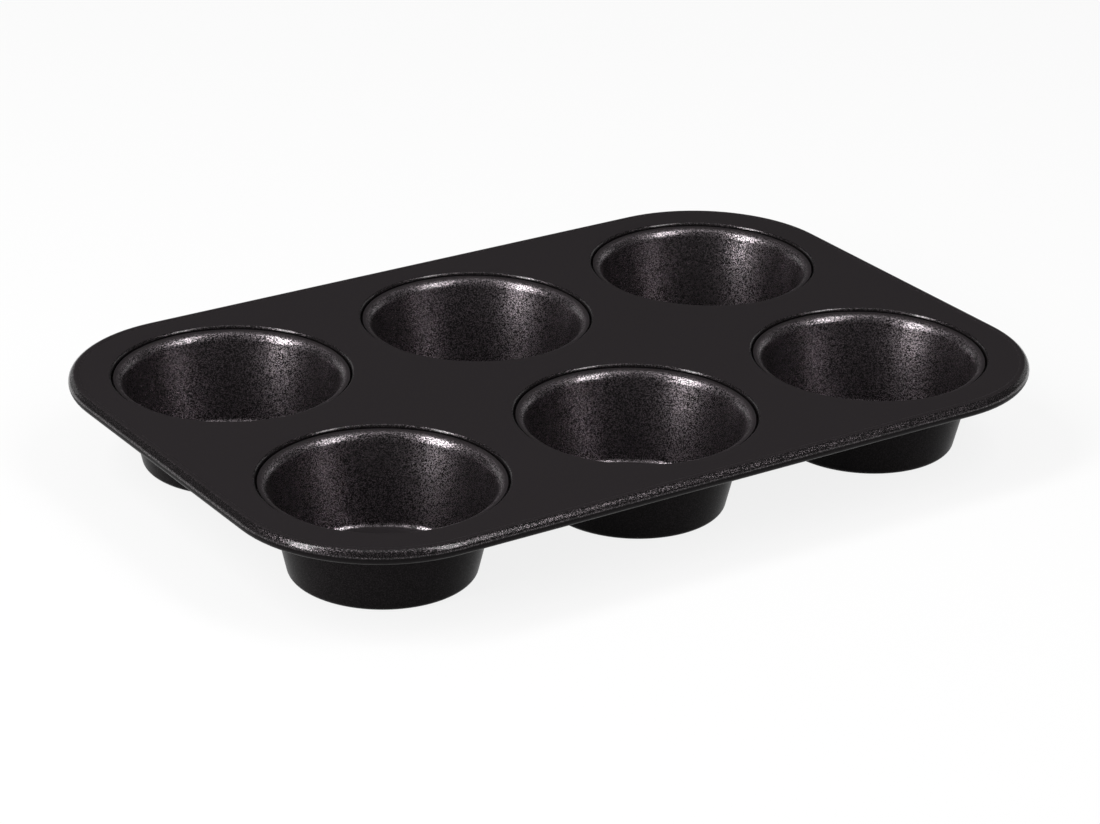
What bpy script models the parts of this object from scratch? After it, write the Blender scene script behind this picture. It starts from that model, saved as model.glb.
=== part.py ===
# Muffin pan with six cups, modelled at its real size in metres, with +Z up.
# The cups' undersides stand on z = 0, and the pan is centred on the origin.
# The top plate has collared holes and an edge rolled round a wire. Each cup is drawn
# from its own blank, and its flange is folded round the foot of a collar as a lock seam.
import math

import bmesh
import bpy

MM = 0.001

# Sheet steel, and the clearance between pieces that touch
PLATE_SHEET = 0.5 * MM
CUP_SHEET = 0.5 * MM
CLEARANCE = 0.3 * MM

# Top plate
PAN_LENGTH = 265 * MM
PAN_WIDTH = 180 * MM
CORNER_RADIUS = 44 * MM
PLATE_HEIGHT = 28.4 * MM  # from the cups' undersides to the plate's top face
CORNER_STEPS = 9

# Rolled edge and the wire inside it
WIRE_RADIUS = 1.5 * MM
ROLL_PROUD = 0.2 * MM  # how far the roll stands above the plate
ROLL_BLEND_RADIUS = 1.5 * MM  # hollow between the plate and the roll
ROLL_END = math.radians(-212)  # the sheet's edge, tucked up under the plate
ROLL_STEPS = 10
WIRE_RESOLUTION = 2

# Cup pattern: the holes take what the border and the bridges leave of the plate
COLUMNS = ("left", "middle", "right")
ROWS = ("front", "back")
BORDER = 11.5 * MM  # from the pan's outer edge to a hole
BRIDGE = 14.5 * MM  # least width of plate between two holes
TURN_STEPS = 28

# Collar round each hole
HOLE_BEND = 0.3 * MM  # inner bend radius where the plate turns down
HOLE_BEND_STEPS = 2
FOOT_WIDTH = 3.3 * MM  # the collar's outward foot, measured from the hole

# Cup
FLOOR_RADIUS = 26.3 * MM  # inside, where the wall would meet the floor without a fillet
FLOOR_FILLET = 1.6 * MM
FLOOR_STEPS = 2
LIP_DROP = 1.0 * MM  # the lip's top below the plate's top face
LIP_GAP = 0.35 * MM  # from the hole's edge to the lip's outer edge
LIP_FLAT = 0.1 * MM
LIP_BEND = 2.1 * MM  # inner bend radius between the wall and the lip
LIP_STEPS = 3
JOGGLE_RUN = 0.05 * MM  # width of the step from the lip down to the flange
HEM_GAP = 0.6 * MM  # from the collar to the edge of the flange folded back over the foot
HEM_STEPS = 2

# Finish: colour, metallic value and roughness
COATING = ("nonstick_coating", (0.030, 0.029, 0.028), 0.0, 0.42)
CUP_COATING = ("cup_coating", (0.018, 0.0175, 0.017), 0.0, 0.34)
BARE_STEEL = ("bare_steel_wire", (0.55, 0.55, 0.56), 1.0, 0.35)

# Sizes that follow from the ones above
HOLE_FROM_LENGTH = (PAN_LENGTH - 2 * BORDER - (len(COLUMNS) - 1) * BRIDGE) / len(COLUMNS)
HOLE_FROM_WIDTH = (PAN_WIDTH - 2 * BORDER - (len(ROWS) - 1) * BRIDGE) / len(ROWS)
HOLE_RADIUS = min(HOLE_FROM_LENGTH, HOLE_FROM_WIDTH) / 2
END_CUP = PAN_LENGTH / 2 - BORDER - HOLE_RADIUS  # the outer columns' distance from the middle
SIDE_CUP = PAN_WIDTH / 2 - BORDER - HOLE_RADIUS  # the outer rows' distance from the middle
ROLL_RADIUS = WIRE_RADIUS + CLEARANCE + PLATE_SHEET
ROLL_CENTRE = PLATE_HEIGHT + ROLL_PROUD - ROLL_RADIUS
HEM_TOP = PLATE_HEIGHT - PLATE_SHEET - CLEARANCE
FOOT_TOP = HEM_TOP - CUP_SHEET - CLEARANCE
FOOT_UNDERSIDE = FOOT_TOP - PLATE_SHEET
FLANGE_TOP = FOOT_UNDERSIDE - CLEARANCE
FOOT_END = HOLE_RADIUS + FOOT_WIDTH
HEM_END = HOLE_RADIUS + PLATE_SHEET + HEM_GAP


def clear_scene():
    for item in list(bpy.data.objects):
        bpy.data.objects.remove(item, do_unlink=True)


def make_material(finish):
    name, colour, metallic, roughness = finish
    material = bpy.data.materials.new(name)
    material.use_nodes = True
    material.diffuse_color = (*colour, 1.0)
    shader = material.node_tree.nodes["Principled BSDF"]
    shader.inputs["Base Color"].default_value = (*colour, 1.0)
    shader.inputs["Metallic"].default_value = metallic
    shader.inputs["Roughness"].default_value = roughness
    return material


def add_object(name, data, material):
    item = bpy.data.objects.new(name, data)
    bpy.context.scene.collection.objects.link(item)
    data.materials.append(material)
    return item


def arc(centre, radius, start, end, steps):
    """Points from the start angle to the end angle, both included."""
    angles = [start + (end - start) * step / steps for step in range(steps + 1)]
    return [
        (centre[0] + radius * math.cos(angle), centre[1] + radius * math.sin(angle))
        for angle in angles
    ]


def thicken(item, sheet):
    """The surface is the sheet's visible face, so the thickness goes behind it."""
    solidify = item.modifiers.new("sheet", "SOLIDIFY")
    solidify.thickness = sheet
    solidify.offset = -1.0
    solidify.use_even_offset = True


def rounded_rectangle(margin):
    """Outline of the pan, moved inwards by the margin, counter-clockwise from above."""
    half_x = PAN_LENGTH / 2 - CORNER_RADIUS
    half_y = PAN_WIDTH / 2 - CORNER_RADIUS
    radius = CORNER_RADIUS - margin
    quarter = math.pi / 2
    centres = ((half_x, half_y), (-half_x, half_y), (-half_x, -half_y), (half_x, -half_y))
    points = []
    for turn, centre in enumerate(centres):
        points += arc(centre, radius, turn * quarter, (turn + 1) * quarter, CORNER_STEPS)
    return points


def roll_profile():
    """The rolled edge as (margin, height), from the flat plate round the wire."""
    between = ROLL_BLEND_RADIUS + ROLL_RADIUS
    rise = ROLL_BLEND_RADIUS + ROLL_RADIUS - ROLL_PROUD
    reach = math.sqrt(between**2 - rise**2)
    first = math.pi / 2 + math.asin(reach / between)
    flat_end = (ROLL_RADIUS + reach, PLATE_HEIGHT)
    round_wire = arc((0, ROLL_CENTRE), ROLL_RADIUS, first, ROLL_END, ROLL_STEPS)
    return [flat_end] + [(ROLL_RADIUS - out, height) for out, height in round_wire]


def collar_profile():
    """A hole's edge as (radius, height), from the flat plate down to the end of the foot."""
    bend = HOLE_BEND + PLATE_SHEET
    centre = (HOLE_RADIUS + bend, PLATE_HEIGHT - bend)
    turn_down = arc(centre, bend, math.pi / 2, math.pi, HOLE_BEND_STEPS)
    return turn_down + [(HOLE_RADIUS, FOOT_UNDERSIDE), (FOOT_END, FOOT_UNDERSIDE)]


def cup_profile():
    """A cup's visible face as (radius, height), from the floor's centre to the hem's end."""
    floor = CUP_SHEET
    lip_bend = LIP_BEND + CUP_SHEET
    lip_top = PLATE_HEIGHT - LIP_DROP
    lip_edge = HOLE_RADIUS - LIP_GAP
    lip_centre = (lip_edge - LIP_FLAT, lip_top - lip_bend)
    run = lip_centre[0] - FLOOR_RADIUS
    rise = lip_centre[1] - floor
    slope = math.atan2(run, rise) - math.asin(lip_bend / math.hypot(run, rise))
    tangent = FLOOR_FILLET * math.tan((math.pi / 2 - slope) / 2)
    fillet_centre = (FLOOR_RADIUS - tangent, floor + FLOOR_FILLET)
    hem_bend = (HEM_TOP - CUP_SHEET - FLANGE_TOP) / 2
    hem_centre = (FOOT_END, FLANGE_TOP + hem_bend)
    fold = arc(hem_centre, hem_bend, -math.pi / 2, math.pi / 2, HEM_STEPS)
    return (
        [(0.0, floor)]
        + arc(fillet_centre, FLOOR_FILLET, -math.pi / 2, -slope, FLOOR_STEPS)
        + arc(lip_centre, lip_bend, math.pi - slope, math.pi / 2, LIP_STEPS)
        + [(lip_edge, lip_top), (lip_edge + JOGGLE_RUN, FLANGE_TOP)]
        + fold
        + [(HEM_END, fold[-1][1])]
    )


def cup_places():
    """Each cup's name and centre, from the pattern's columns and rows."""
    for row, row_name in enumerate(ROWS):
        for column, column_name in enumerate(COLUMNS):
            x = END_CUP * (2 * column / (len(COLUMNS) - 1) - 1)
            y = SIDE_CUP * (2 * row / (len(ROWS) - 1) - 1)
            yield f"cup_{row_name}_{column_name}", x, y


def add_loop(bm, points, height):
    return [bm.verts.new((x, y, height)) for x, y in points]


def loop_edges(bm, loop):
    return [bm.edges.new((a, b)) for a, b in zip(loop, loop[1:] + loop[:1])]


def join_loops(bm, outer, inner):
    """A strip of faces between two loops of as many points."""
    for index in range(len(outer)):
        following = (index + 1) % len(outer)
        bm.faces.new((outer[index], outer[following], inner[following], inner[index]))


def circle(x, y, radius):
    turns = [2 * math.pi * step / TURN_STEPS for step in range(TURN_STEPS)]
    return [(x + radius * math.cos(turn), y + radius * math.sin(turn)) for turn in turns]


def build_top_plate(material):
    bm = bmesh.new()
    margin, height = roll_profile()[0]
    flat_loop = add_loop(bm, rounded_rectangle(margin), height)
    flat_edges = loop_edges(bm, flat_loop)
    rim = flat_loop
    strips = []
    for margin, height in roll_profile()[1:]:
        following = add_loop(bm, rounded_rectangle(margin), height)
        strips.append((following, rim))
        rim = following
    for _, x, y in cup_places():
        radius, height = collar_profile()[0]
        edge = add_loop(bm, circle(x, y, radius), height)
        flat_edges += loop_edges(bm, edge)
        for radius, height in collar_profile()[1:]:
            following = add_loop(bm, circle(x, y, radius), height)
            strips.append((edge, following))
            edge = following
    bmesh.ops.triangle_fill(bm, use_beauty=True, edges=flat_edges, normal=(0, 0, 1))
    for outer, inner in strips:
        join_loops(bm, outer, inner)
    mesh = bpy.data.meshes.new("top_plate")
    bm.to_mesh(mesh)
    bm.free()
    mesh.shade_smooth()
    plate = add_object("top_plate", mesh, material)
    thicken(plate, PLATE_SHEET)
    return plate


def build_rim_wire(material):
    path = bpy.data.curves.new("rim_wire", "CURVE")
    path.dimensions = "3D"
    path.bevel_depth = WIRE_RADIUS
    path.bevel_resolution = WIRE_RESOLUTION
    points = rounded_rectangle(ROLL_RADIUS)
    spline = path.splines.new("POLY")
    spline.points.add(len(points) - 1)
    for point, (x, y) in zip(spline.points, points):
        point.co = (x, y, ROLL_CENTRE, 1.0)
    spline.use_cyclic_u = True
    spline.use_smooth = True
    return add_object("rim_wire", path, material)


def build_cup_mesh():
    profile = cup_profile()
    edges = [(index, index + 1) for index in range(len(profile) - 1)]
    mesh = bpy.data.meshes.new("cup_profile")
    mesh.from_pydata([(radius, 0.0, height) for radius, height in profile], edges, [])
    return mesh


def build_cup(name, x, y, mesh, material):
    cup = bpy.data.objects.new(name, mesh)
    bpy.context.scene.collection.objects.link(cup)
    cup.location = (x, y, 0.0)
    turn = cup.modifiers.new("turn", "SCREW")
    turn.axis = "Z"
    turn.steps = TURN_STEPS
    turn.render_steps = TURN_STEPS
    turn.use_merge_vertices = True
    turn.merge_threshold = 0.00001
    turn.use_smooth_shade = True
    thicken(cup, CUP_SHEET)
    return cup


def main():
    clear_scene()
    coating = make_material(COATING)
    cup_coating = make_material(CUP_COATING)
    steel = make_material(BARE_STEEL)
    build_top_plate(coating)
    build_rim_wire(steel)
    cup_mesh = build_cup_mesh()
    cup_mesh.materials.append(cup_coating)
    for name, x, y in cup_places():
        build_cup(name, x, y, cup_mesh, cup_coating)


main()
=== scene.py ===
# Muffin pan: its looks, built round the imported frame.
# Lengths in the dictionaries are millimetres, and angles are degrees.
import math

import bpy
from mathutils import Matrix, Vector
from mathutils.geometry import delaunay_2d_cdt


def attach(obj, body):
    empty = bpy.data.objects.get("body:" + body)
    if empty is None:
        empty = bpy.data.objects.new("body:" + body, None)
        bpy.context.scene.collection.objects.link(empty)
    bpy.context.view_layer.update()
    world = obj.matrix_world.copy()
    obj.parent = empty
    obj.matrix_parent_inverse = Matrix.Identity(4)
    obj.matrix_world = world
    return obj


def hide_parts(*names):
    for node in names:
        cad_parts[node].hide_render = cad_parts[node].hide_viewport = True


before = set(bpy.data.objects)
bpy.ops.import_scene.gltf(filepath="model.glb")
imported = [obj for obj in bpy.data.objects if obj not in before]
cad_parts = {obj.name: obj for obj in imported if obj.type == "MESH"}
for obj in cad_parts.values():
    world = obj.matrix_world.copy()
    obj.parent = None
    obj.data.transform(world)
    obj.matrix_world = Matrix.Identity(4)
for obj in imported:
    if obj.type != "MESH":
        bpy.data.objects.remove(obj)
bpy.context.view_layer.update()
mm = 0.001
print("frame loaded:", ", ".join(sorted(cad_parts)))


# Shader maths as Python expressions
class Wire:
    def __init__(self, finish, socket):
        self.finish = finish
        self.socket = socket

    def maths(self, operation, first, second):
        wires = [side for side in (first, second) if isinstance(side, Wire)]
        if all(wire.socket.type == "VALUE" for wire in wires):
            return self.finish.node("ShaderNodeMath", {"operation": operation}, {0: first, 1: second})
        sides = [(side,) * 3 if isinstance(side, (int, float)) else side for side in (first, second)]
        return self.finish.node("ShaderNodeVectorMath", {"operation": operation}, dict(enumerate(sides)))

    def __add__(self, other):
        return self.maths("ADD", self, other)

    def __radd__(self, other):
        return self.maths("ADD", other, self)

    def __sub__(self, other):
        return self.maths("SUBTRACT", self, other)

    def __rsub__(self, other):
        return self.maths("SUBTRACT", other, self)

    def __mul__(self, other):
        return self.maths("MULTIPLY", self, other)

    def __rmul__(self, other):
        return self.maths("MULTIPLY", other, self)

    def __lt__(self, other):
        return self.maths("LESS_THAN", self, other)


# One material. Every node comes from node(): its kind, its settings, and what its sockets take
class Finish:
    def __init__(self, name):
        self.material = bpy.data.materials.new(name)
        self.material.use_nodes = True
        self.nodes = self.material.node_tree.nodes
        self.nodes.clear()

    def node(self, kind, settings=None, sockets=None, output=0):
        made = self.nodes.new(kind)
        for setting, value in (settings or {}).items():
            setattr(made, setting, value)
        for socket, value in (sockets or {}).items():
            if isinstance(value, Wire):
                self.material.node_tree.links.new(value.socket, made.inputs[socket])
            else:
                made.inputs[socket].default_value = value
        return Wire(self, made.outputs[output]) if made.outputs else made

    def mix(self, factor, first, second):
        # sockets 0, 6 and 7 of a colour Mix are its factor, A and B, and its output 2 is the colour
        first, second = [(*side, 1.0) if isinstance(side, tuple) else side for side in (first, second)]
        return self.node("ShaderNodeMix", {"data_type": "RGBA"}, {0: factor, 6: first, 7: second}, 2)

    def done(self, shader):
        self.node("ShaderNodeOutputMaterial", None, {"Surface": shader})
        return self.material


# Sheet sections. A section is a list of stations: across, height, and the surface's normal there.
# It is drawn through corners (across, height, bend radius), with the visible face on the left.
drawing = {
    "bendStep": 7.0,  # degrees of a bend from one station to the next
    "leastSteps": 2,
    "sameStation": 1e-4,  # stations nearer than this share one ring of points
}


def leftOf(way):
    return Vector((-way.y, way.x))


def bentPath(corners):
    points = [Vector(corner[:2]) for corner in corners]
    ways = [(after - before).normalized() for before, after in zip(points, points[1:])]
    stations = [(*points[0], *leftOf(ways[0]))]
    for point, corner, into, out in zip(points[1:], corners[1:], ways, ways[1:]):
        turn = math.atan2(into.cross(out), into.dot(out))
        radius = corner[2] * math.copysign(1.0, turn)
        if not radius:
            stations += [(*point, *leftOf(into)), (*point, *leftOf(out))]
            continue
        centre = point - into * radius * math.tan(turn / 2) + leftOf(into) * radius
        steps = max(drawing["leastSteps"], math.ceil(abs(math.degrees(turn)) / drawing["bendStep"]))
        for step in range(steps + 1):
            normal = leftOf(Matrix.Rotation(turn * step / steps, 2) @ into)
            stations.append((*(centre - normal * radius), *normal))
    return stations + [(*points[-1], *leftOf(ways[-1]))]


def backCorners(corners, sheet):
    # the same corners on the sheet's other face
    points = [Vector(corner[:2]) for corner in corners]
    ways = [(after - before).normalized() for before, after in zip(points, points[1:])]
    moved = [(*(points[0] - leftOf(ways[0]) * sheet), 0)]
    for point, corner, into, out in zip(points[1:], corners[1:], ways, ways[1:]):
        turn = math.atan2(into.cross(out), into.dot(out))
        between = (leftOf(into) + leftOf(out)).normalized()
        radius = max(corner[2] + math.copysign(sheet, turn), 0.0)
        moved.append((*(point - between * sheet / math.cos(turn / 2)), radius))
    return moved + [(*(points[-1] - leftOf(ways[-1]) * sheet), 0)]


def turned(stations):
    # walked the other way, and seen from the other side
    return [(across, height, -aside, -up) for across, height, aside, up in reversed(stations)]


def wrapEdge(first, second):
    # joins two faces of a sheet with its cut edge
    start, end = Vector(first[-1][:2]), Vector(second[0][:2])
    normal = leftOf((end - start).normalized())
    return first + [(*start, *normal), (*end, *normal)] + second


# A closed mesh with the normal of every corner of every face
class Shell:
    def __init__(self):
        self.points = []
        self.faces = []
        self.normals = []

    def addRing(self, rail, across, height):
        # on the axis a ring is a single point
        first = len(self.points)
        rail = rail if across else rail[:1]
        self.points += [(*(base + way * across), height) for base, way in rail]
        return list(range(first, len(self.points)))

    def sweep(self, rail, stations):
        # a rail is a closed row of base points, each with the way in which across is measured
        places = [station[:2] for station in stations]
        rings = [self.addRing(rail, *places[0])]
        for before, place in zip(places, places[1:]):
            same = math.dist(before, place) < drawing["sameStation"]
            rings.append(rings[-1] if same else self.addRing(rail, *place))
        for number, (low, high) in enumerate(zip(rings, rings[1:])):
            if low is high:
                continue
            for here in range(len(rail)):
                there = (here + 1) % len(rail)
                corners = [(low, here, 0), (high, here, 1), (high, there, 1), (low, there, 0)]
                if len(low) == 1:
                    corners.pop()
                if len(high) == 1:
                    corners.pop(2)
                self.faces.append([ring[spoke % len(ring)] for ring, spoke, _ in corners])
                for _, spoke, side in corners:
                    aside, up = stations[number + side][2:]
                    self.normals.append((*(rail[spoke][1] * aside), up))
        return rings

    def finish(self, name, material, slot):
        mesh = bpy.data.meshes.new(name)
        mesh.from_pydata([Vector(point) * mm for point in self.points], [], self.faces)
        mesh.normals_split_custom_set(self.normals)
        mesh.materials.append(material)
        piece = bpy.data.objects.new(name, mesh)
        bpy.context.scene.collection.objects.link(piece)
        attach(piece, "root")
        return piece


# Coating: black non-stick, with fine metallic flakes under a clear coat. As painted shade, the faces that
# look down
#  get next to none of the flakes or the coat, which keeps them dark where they would mirror the bright floor.
def coating(name, look):
    finish = Finish(name)
    place = finish.node("ShaderNodeTexCoord", output="Object")
    normal = finish.node("ShaderNodeNewGeometry", output="Normal")
    height = finish.node("ShaderNodeSeparateXYZ", None, {"Vector": normal}, "Z")
    smooth = {"interpolation_type": "SMOOTHSTEP"}
    # painted shade: the lower the normal points, the less flake and coat a face gets
    shadeSpan = {"Value": height, "From Min": look["unshadedFrom"], "From Max": look["unshadedTo"]}
    shadeMaskedCoat = finish.node("ShaderNodeMapRange", smooth, {**shadeSpan, "To Min": look["shadedLeast"]})
    # on level areas the flake glints and most of the coat's gloss are left out, so that no single flakes
    # show, and a painted sheen of flake colour in the body stands in for them
    level = {"Value": height, "From Min": look["levelFrom"], "From Max": look["levelTo"]}
    flat = finish.node("ShaderNodeMapRange", smooth, level)
    perFlake = {"Vector": place, "Scale": 1 / (look["flakeSize"] * mm)}
    chip = finish.node("ShaderNodeTexVoronoi", {"feature": "F1"}, perFlake, "Color")
    scatter = finish.node("ShaderNodeTexWhiteNoise", None, {"Vector": chip}, "Color")
    chance = finish.node("ShaderNodeTexWhiteNoise", None, {"Vector": scatter}, "Value")
    flake = (chance < look["flakeShare"]) * (1 - flat)
    # scatter runs from 0 to 1 along each axis, so that twice its part past the middle runs from -1 to 1
    lean = (scatter - 0.5) * (flake * (look["flakeLean"] - look["coatLean"]) + look["coatLean"])
    leaning = finish.node("ShaderNodeVectorMath", {"operation": "NORMALIZE"}, {0: normal + lean * 2.0})
    grained = {"Vector": place, "Scale": 1 / (look["grainSize"] * mm), "Detail": look["grainDetail"]}
    grain = finish.node("ShaderNodeTexNoise", None, grained, "Fac")
    bump = {"Strength": 1.0, "Distance": look["grainDepth"] * mm, "Height": grain, "Normal": leaning}
    clouded = {"Vector": place, "Scale": 1 / (look["cloudSize"] * mm), "Detail": look["cloudDetail"]}
    cloud = finish.node("ShaderNodeTexNoise", None, clouded, "Fac")
    body = finish.mix(cloud, look["colour"], look["cloudColour"])
    shader = {
        # the base colour carries the painted sheen on level faces and the painted shade on faces that look
        # down
        "Base Color": finish.mix((flake + flat * look["levelPaintedSheen"]) * shadeMaskedCoat, body, look["flakeColour"]),
        "Metallic": flake * shadeMaskedCoat,
        "Roughness": (cloud - 0.5) * look["roughSpread"] + look["rough"],
        "Specular IOR Level": look["gloss"],
        "Coat Weight": shadeMaskedCoat * (1 - flat * look["levelDull"]) * look["coatWeight"],
        "Coat Roughness": look["coatRough"],
        "Coat IOR": look["coatIor"],
        "Normal": finish.node("ShaderNodeBump", None, bump),
    }
    return finish.done(finish.node("ShaderNodeBsdfPrincipled", None, shader))


coatingLook = {
    "colour": (0.0068, 0.0060, 0.0062),
    "cloudColour": (0.0082, 0.0071, 0.0076),
    "flakeColour": (0.430, 0.374, 0.402),
    "flakeSize": 0.17,
    "flakeShare": 0.30,
    "levelPaintedSheen": 0.035,  # painted sheen: how far the flake colour tints the body on level areas
    "levelDull": 0.85,  # how much of the coat's gloss is lost there
    "flakeLean": 0.06,
    "coatLean": 0.02,
    "unshadedFrom": 0.0,  # from this height part of the normal the painted shade gives way to the flakes and coat, which are full at the next
    "unshadedTo": 0.20,
    "shadedLeast": 0.025,
    "levelFrom": 0.70,  # from this height part of the normal a face turns level
    "levelTo": 0.99,
    "grainSize": 0.9,
    "grainDetail": 2.0,
    "grainDepth": 0.003,
    "cloudSize": 70.0,
    "cloudDetail": 3.0,
    "rough": 0.30,  # below 0.28 a short render smears the flakes
    "roughSpread": 0.03,
    "gloss": 0.02,
    "coatWeight": 0.62,
    "coatRough": 0.22,
    "coatIor": 1.5,
}
plateLook = {
    **coatingLook,
    "flakeColour": (0.161, 0.138, 0.149),
    "flakeShare": 0.20,
    "levelPaintedSheen": 0.085,
    "levelFrom": 0.90,
    "coatWeight": 0.6,
    "coatRough": 0.14,
}
plateCoating = coating("plate_coating_speckled", plateLook)
cupCoating = coating("cup_coating_speckled", coatingLook)
print("coatings mixed")

# The pan's own sizes, as the frame has them
pan = {
    "length": 265.0,
    "width": 180.0,
    "corner": 44.0,
    "top": 28.4,
    "sheet": 0.5,
    "border": 11.5,
    "bridge": 14.5,
    "spokes": 168,
}
holeRadius = ((pan["length"] - 2 * pan["border"] - 2 * pan["bridge"]) / 3) / 2
endCup = pan["length"] / 2 - pan["border"] - holeRadius
sideCup = pan["width"] / 2 - pan["border"] - holeRadius
cupCentres = {
    f"{row}_{column}": Vector((across * endCup, along * sideCup))
    for row, along in (("front", -1), ("back", 1))
    for column, across in (("left", -1), ("middle", 0), ("right", 1))
}


def roundRail(centre):
    turns = [math.tau * spoke / pan["spokes"] for spoke in range(pan["spokes"])]
    return [(centre, Vector((math.cos(turn), math.sin(turn)))) for turn in turns]


# Top plate: a flat sheet with six collared holes and its edge rolled round the wire
plate = {
    "dishWidth": 3.0,
    "dishDepth": 0.08,
    "holeBend": 0.8,
    "footUnderside": 26.3,
    "footWidth": 3.3,
    "wire": 1.5,
    "wireGap": 0.3,
    "rollProud": 0.2,
    "rollBlend": 1.5,
    "rollEnd": -212.0,  # angle round the wire: 90 is on top of it, 0 outward and -90 below
    "cornerSteps": 22,
    "gridStep": 6.0,
}
rollRadius = plate["wire"] + plate["wireGap"] + pan["sheet"]


def edgeRail():
    # along the wire's centre line, counter-clockwise from above
    bend = pan["corner"] - rollRadius
    half = Vector((pan["length"] / 2 - pan["corner"], pan["width"] / 2 - pan["corner"]))
    rail = []
    for quarter, (right, back) in enumerate(((1, 1), (-1, 1), (-1, -1), (1, -1))):
        corner = Vector((right * half.x, back * half.y))
        for step in range(plate["cornerSteps"] + 1):
            turn = (quarter + step / plate["cornerSteps"]) * math.pi / 2
            way = Vector((math.cos(turn), math.sin(turn)))
            rail.append((corner + way * bend, way))
        run = 2 * (half.x if quarter % 2 == 0 else half.y)
        pieces = round(run / plate["gridStep"])
        rail += [(rail[-1][0] + leftOf(way) * run * piece / pieces, way) for piece in range(1, pieces)]
    return rail


def arcStations(centre, radius, start, end, outward=1):
    # outward is 1 where the visible face is outside the arc, and -1 where it is inside
    steps = math.ceil(abs(end - start) / drawing["bendStep"])
    spokes = []
    for step in range(steps + 1):
        angle = math.radians(start + (end - start) * step / steps)
        spokes.append(Vector((math.cos(angle), math.sin(angle))))
    return [(*(centre + spoke * radius), *(spoke * outward)) for spoke in spokes]


def rollFaces():
    rise = plate["rollBlend"] + rollRadius - plate["rollProud"]
    reach = math.sqrt((plate["rollBlend"] + rollRadius) ** 2 - rise**2)
    lean = math.degrees(math.atan2(reach, rise))
    hollow = Vector((-reach, pan["top"] + plate["rollBlend"]))
    wire = Vector((0.0, pan["top"] + plate["rollProud"] - rollRadius))
    faces = []
    for sheet in (0.0, pan["sheet"]):
        blend = arcStations(hollow, plate["rollBlend"] + sheet, -90, -90 + lean, -1)
        faces.append(blend + arcStations(wire, rollRadius - sheet, 90 + lean, plate["rollEnd"])[1:])
    return wrapEdge(faces[0], turned(faces[1]))


def collarFaces():
    dishRadius = plate["dishWidth"] * (plate["dishWidth"] + plate["holeBend"]) / plate["dishDepth"] / 2
    foot, flat = holeRadius + plate["footWidth"], holeRadius + plate["holeBend"] + plate["dishWidth"]
    corners = [
        (foot, plate["footUnderside"], 0),
        (holeRadius, plate["footUnderside"], plate["holeBend"]),
        (holeRadius, pan["top"] - plate["dishDepth"], plate["holeBend"]),
        (flat - plate["dishWidth"] / 2, pan["top"], dishRadius),
        (flat, pan["top"], 0),
    ]
    back = turned(bentPath(backCorners(corners, pan["sheet"])))
    return wrapEdge(back, bentPath(corners))


def nearestCup(point):
    return min((point - centre).length for centre in cupCentres.values())


def fillFlat(shell, edge, holes, height, up):
    # triangles between the edge's ring and the holes' rings, with a grid of points between them
    mergeWithin = 1e-6
    rings = [edge] + holes
    numbers = [corner for ring in rings for corner in ring]
    flatPoints = [Vector(shell.points[corner][:2]) for corner in numbers]
    sides, first = [], 0
    for ring in rings:
        sides += [(first + step, first + (step + 1) % len(ring)) for step in range(len(ring))]
        first += len(ring)
    clear = plate["gridStep"] / 2
    flatHole = holeRadius + plate["holeBend"] + plate["dishWidth"]
    half = (pan["length"] / 2 - rollRadius * 2 - clear, pan["width"] / 2 - rollRadius * 2 - clear)
    columns, rows = (math.floor(side / plate["gridStep"]) for side in half)
    for column in range(-columns, columns + 1):
        for row in range(-rows, rows + 1):
            point = Vector((column, row)) * plate["gridStep"]
            past = Vector([max(abs(place) - side + pan["corner"], 0) for place, side in zip(point, half)])
            if past.length < pan["corner"] - clear and nearestCup(point) > flatHole + clear:
                flatPoints.append(point)
                numbers.append(len(shell.points))
                shell.points.append((*point, height))
    _, _, triangles, sources, _, _ = delaunay_2d_cdt(flatPoints, sides, [], 0, mergeWithin)
    holeReach = flatHole * math.cos(math.pi / pan["spokes"])
    for triangle in triangles:
        corners = [sources[corner][0] for corner in triangle]
        middle = sum((flatPoints[corner] for corner in corners), Vector((0, 0))) / 3
        if nearestCup(middle) > holeReach:
            face = [numbers[corner] for corner in corners]
            shell.faces.append(face if up > 0 else face[::-1])
            shell.normals += [(0, 0, up)] * 3


def buildPlate():
    shell = Shell()
    edgeRings = shell.sweep(edgeRail(), rollFaces())
    holeRings = [shell.sweep(roundRail(centre), collarFaces()) for centre in cupCentres.values()]
    fillFlat(shell, edgeRings[0], [rings[-1] for rings in holeRings], pan["top"], 1)
    fillFlat(shell, edgeRings[-1], [rings[0] for rings in holeRings], pan["top"] - pan["sheet"], -1)
    piece = shell.finish("plate_sheet", plateCoating, "plate_coating")
    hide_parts("top_plate")
    return piece


buildPlate()
print("top plate made")

# Cups: each drawn from its own blank, with its flange folded round the foot of a collar
cup = {
    "sheet": 0.5,
    "wallSlope": 12.8,
    "floorBend": 1.6,
    "lipDrop": 1.0,
    "lipGap": 0.35,
    "lipFlat": 0.1,
    "lipBend": 3.3,
    "lipEdge": 0.3,
    "joggle": 0.05,
    "flangeTop": 26.0,
    "hemUnderside": 27.1,
    "hemGap": 0.6,
}


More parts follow.
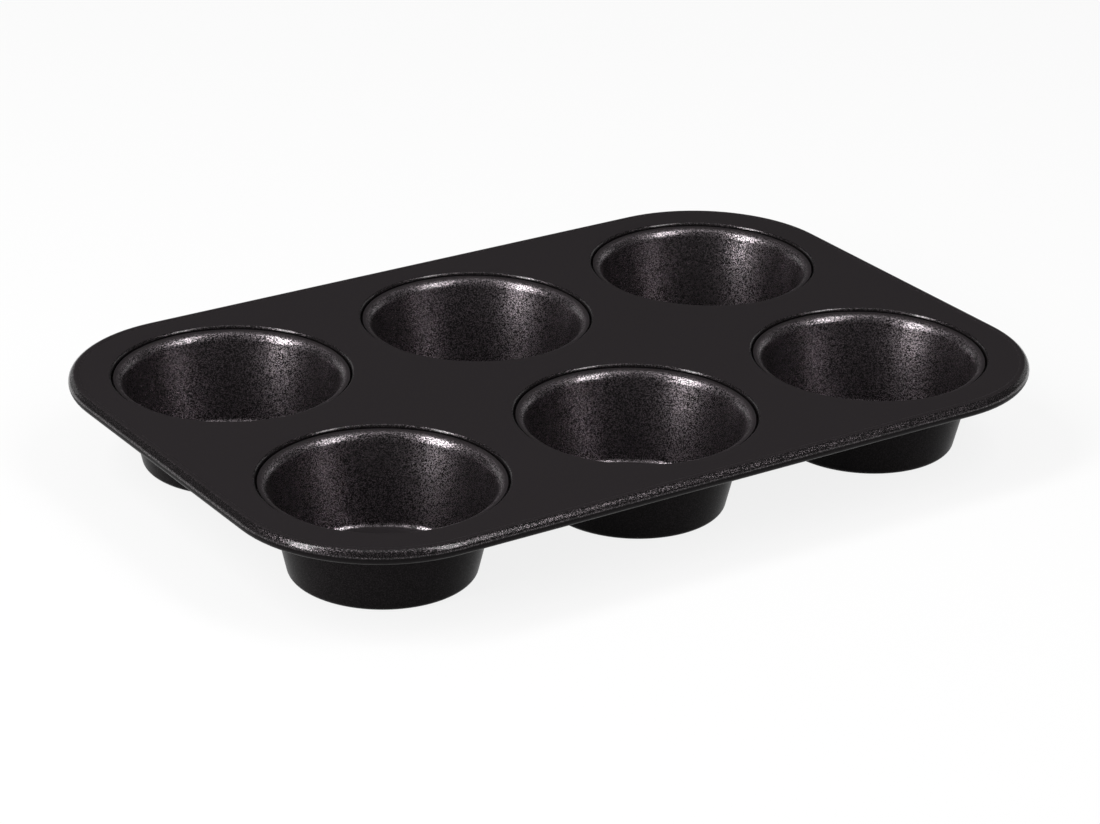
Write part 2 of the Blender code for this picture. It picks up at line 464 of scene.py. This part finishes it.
def cupFaces():
    slope = math.radians(cup["wallSlope"])
    lipTop = pan["top"] - cup["lipDrop"]
    lipEdge = holeRadius - cup["lipGap"]
    lipCorner = lipEdge - cup["lipFlat"] - cup["lipBend"] * math.tan((math.pi / 2 - slope) / 2)
    floorCorner = lipCorner - (lipTop - cup["sheet"]) * math.tan(slope)
    fold = (cup["hemUnderside"] - cup["flangeTop"]) / 2
    foldEnd = holeRadius + plate["footWidth"] + fold
    corners = [
        (0.0, cup["sheet"], 0),
        (floorCorner, cup["sheet"], cup["floorBend"]),
        (lipCorner, lipTop, cup["lipBend"]),
        (lipEdge, lipTop, cup["lipEdge"]),
        (lipEdge + cup["joggle"], cup["flangeTop"], cup["lipEdge"]),
        (foldEnd, cup["flangeTop"], fold),
        (foldEnd, cup["hemUnderside"], fold),
        (holeRadius + pan["sheet"] + cup["hemGap"], cup["hemUnderside"], 0),
    ]
    return wrapEdge(bentPath(corners), turned(bentPath(backCorners(corners, cup["sheet"]))))


def buildCup(name, centre):
    shell = Shell()
    shell.sweep(roundRail(centre), cupFaces())
    piece = shell.finish(f"drawn_cup_{name}", cupCoating, "cup_coating")
    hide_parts(f"cup_{name}")
    return piece


for name, centre in cupCentres.items():
    buildCup(name, centre)
print("six cups made")


# Rim wire: bare drawn steel inside the roll
wireLook = {
    "colour": (0.55, 0.55, 0.56),
    "lineColour": (0.44, 0.44, 0.448),
    "lineSize": 1 / 1.8,
    "lineDetail": 2.0,
    "rough": 0.32,
    "roughSpread": 0.12,
}


def wireSteel():
    finish = Finish("drawn_wire_steel")
    place = finish.node("ShaderNodeTexCoord", output="Object")
    drawn = {"Vector": place, "Scale": 1 / (wireLook["lineSize"] * mm), "Detail": wireLook["lineDetail"]}
    lines = finish.node("ShaderNodeTexNoise", None, drawn, "Fac")
    shader = {
        "Base Color": finish.mix(lines, wireLook["colour"], wireLook["lineColour"]),
        "Metallic": 1.0,
        "Roughness": lines * wireLook["roughSpread"] + wireLook["rough"],
    }
    return finish.done(finish.node("ShaderNodeBsdfPrincipled", None, shader))


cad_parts["rim_wire"].data.materials.clear()
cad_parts["rim_wire"].data.materials.append(wireSteel())
print("rim wire finished")

# Camera, solved from the photo's edges
view = {
    "azimuth": -34.048,
    "elevation": 23.869,
    "roll": 1.187,
    "distance": 1056.9,
    "lens": 119.68,
    "target": (-21.3, -30.1, 28.4),
    "reach": 20000.0,
}


def cameraWays():
    azimuth, elevation, roll = [math.radians(view[name]) for name in ("azimuth", "elevation", "roll")]
    level = math.cos(elevation)
    back = Vector((math.sin(azimuth) * level, -math.cos(azimuth) * level, math.sin(elevation)))
    right = Vector((math.cos(azimuth), math.sin(azimuth), 0.0))
    up = back.cross(right)
    return right * math.cos(roll) + up * math.sin(roll), up * math.cos(roll) - right * math.sin(roll), back


def placeCamera():
    right, up, back = cameraWays()
    camera = bpy.data.cameras.new("studio_camera")
    camera.lens = view["lens"]
    camera.clip_end = view["reach"] * mm
    holder = bpy.data.objects.new("studio_camera", camera)
    eye = (Vector(view["target"]) + back * view["distance"]) * mm
    holder.matrix_world = Matrix.Translation(eye) @ Matrix((right, up, back)).transposed().to_4x4()
    bpy.context.scene.collection.objects.link(holder)
    bpy.context.scene.camera = holder


# Studio: a pale floor, a dim room, a tall soft box at each side of the camera for the light bands in
# the cups, and weak ones above and behind
studio = {
    "floorSize": 9000.0,
    "floorColour": (0.90, 0.90, 0.90),
    "floorRough": 0.9,
    "floorGloss": 0.1,
    "floorWhite": 0.85,
    "room": 0.08,
    "aim": (0.0, 0.0, 15.0),
}
softBoxes = {
    # azimuth from the camera's own, positive to its right; elevation; distance; width; height; lean; radiance
    "left_box": (-59.0, 38.0, 1374.0, 330.0, 1700.0, 22.0, 12.0),
    "right_box": (62.0, 50.0, 1374.0, 330.0, 1300.0, -22.0, 7.6),
    "top_box": (180.0, 88.0, 1700.0, 900.0, 900.0, 0.0, 0.8),
    "back_left_box": (-138.0, 14.0, 1400.0, 700.0, 500.0, 0.0, 0.50),
    "back_right_box": (138.0, 14.0, 1400.0, 700.0, 500.0, 0.0, 0.42),
}


def floorPaper():
    # seen directly and in reflections, the paper is partly as white as the photo's background
    finish = Finish("studio_floor_paper")
    paper = {
        "Base Color": (*studio["floorColour"], 1.0),
        "Roughness": studio["floorRough"],
        "Specular IOR Level": studio["floorGloss"],
    }
    rays = [f"Is {ray} Ray" for ray in ("Camera", "Glossy", "Transmission")]
    camera, glossy, clear = [finish.node("ShaderNodeLightPath", output=ray) for ray in rays]
    white = finish.node("ShaderNodeEmission", None, {"Color": (1.0, 1.0, 1.0, 1.0), "Strength": 1.0})
    layers = {
        0: (camera + glossy + clear) * studio["floorWhite"],
        1: finish.node("ShaderNodeBsdfPrincipled", None, paper),
        2: white,
    }
    return finish.done(finish.node("ShaderNodeMixShader", None, layers))


def buildFloor():
    half = studio["floorSize"] / 2 * mm
    mesh = bpy.data.meshes.new("studio_floor")
    corners = [(-half, -half, 0.0), (half, -half, 0.0), (half, half, 0.0), (-half, half, 0.0)]
    mesh.from_pydata(corners, [], [(0, 1, 2, 3)])
    mesh.materials.append(floorPaper())
    floor = bpy.data.objects.new("studio_floor", mesh)
    bpy.context.scene.collection.objects.link(floor)


def placeSoftBox(name, azimuth, elevation, distance, width, height, lean, radiance):
    back = cameraWays()[2]
    towards = Vector((back.x, back.y, 0.0)).normalized()
    aside = towards.cross(Vector((0, 0, -1)))
    turn, rise = math.radians(azimuth), math.radians(elevation)
    level = towards * math.cos(turn) + aside * math.sin(turn)
    way = level * math.cos(rise) + Vector((0, 0, math.sin(rise)))
    lamp = bpy.data.lights.new(name, "AREA")
    lamp.shape = "RECTANGLE"
    lamp.size = width * mm
    lamp.size_y = height * mm
    lamp.energy = radiance * math.pi * lamp.size * lamp.size_y
    holder = bpy.data.objects.new(name, lamp)
    spin = Matrix.Rotation(math.radians(lean), 4, "Z")
    place = Matrix.Translation((Vector(studio["aim"]) + way * distance) * mm)
    holder.matrix_world = place @ way.to_track_quat("Z", "Y").to_matrix().to_4x4() @ spin
    bpy.context.scene.collection.objects.link(holder)


def lightRoom():
    world = bpy.data.worlds.new("studio_room")
    world.use_nodes = True
    world.node_tree.nodes["Background"].inputs["Color"].default_value = (1.0, 1.0, 1.0, 1.0)
    world.node_tree.nodes["Background"].inputs["Strength"].default_value = studio["room"]
    bpy.context.scene.world = world
    for name, values in softBoxes.items():
        placeSoftBox(name, *values)
    bpy.context.scene.view_settings.view_transform = "Standard"


placeCamera()
buildFloor()
lightRoom()
print("studio lit")
